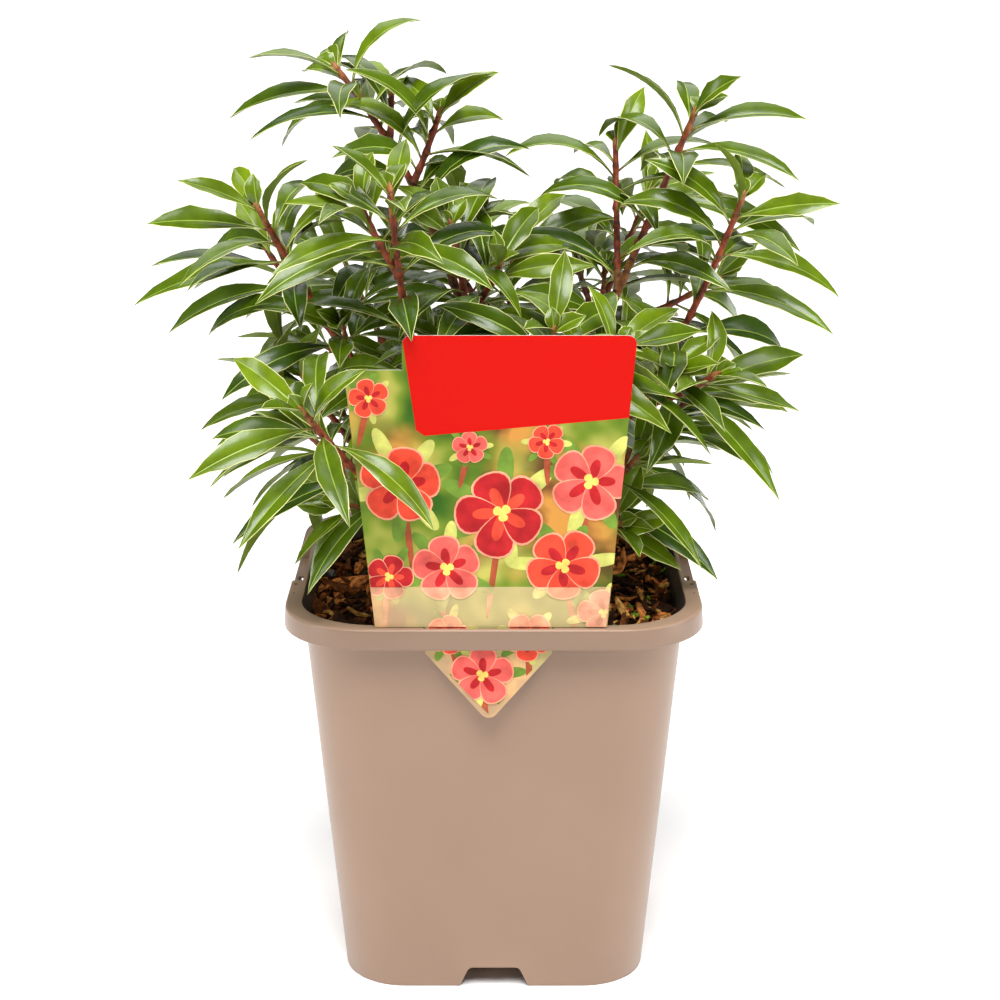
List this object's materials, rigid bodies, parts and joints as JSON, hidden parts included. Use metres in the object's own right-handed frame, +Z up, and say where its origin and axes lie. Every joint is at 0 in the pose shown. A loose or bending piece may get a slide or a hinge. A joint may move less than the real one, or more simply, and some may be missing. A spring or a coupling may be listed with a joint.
{
  "type": "potted pieris shrub",
  "caption": "Young evergreen pieris shrub with whorls of narrow cream-edged leaves on red-brown stems, in a square taupe nursery pot with a plain picture label.",
  "frame": {"origin": "on the ground under the middle of the pot, on the flat pad under its floor", "axes": "+Z up along the pot, -Y towards the side of the pot with the label, +X to the right seen from that side"},
  "size_m": [0.2388, 0.2341, 0.3542],
  "materials": {
    "pot_plastic": "satin",
    "compost": "rough",
    "label_card": "gloss",
    "bark": "rough",
    "foliage": "satin"
  },
  "bodies": {
    "root": {"pot": "pot_plastic", "compost": "compost", "label": "label_card", "trunk": "bark", "bough_left_upper": "bark", "foliage_left_upper": "foliage", "bough_left_low": "bark", "foliage_left_low": "foliage", "bough_front_left": "bark", "foliage_front_left": "foliage", "bough_crown_left": "bark", "foliage_crown_left": "foliage", "bough_right_main": "bark", "foliage_right_main": "foliage", "bough_right_outer": "bark", "foliage_right_outer": "foliage", "bough_front_centre": "bark", "foliage_front_centre": "foliage", "bough_middle_left": "bark", "foliage_middle_left": "foliage", "bough_back_centre": "bark", "foliage_back_centre": "foliage", "bough_right_low": "bark", "foliage_right_low": "foliage", "bough_back_left": "bark", "foliage_back_left": "foliage", "bough_back_right": "bark", "foliage_back_right": "foliage", "bough_back_low": "bark", "foliage_back_low": "foliage", "bough_left_back": "bark", "foliage_left_back": "foliage", "bough_right_back": "bark", "foliage_right_back": "foliage"}
  },
  "joints": []
}
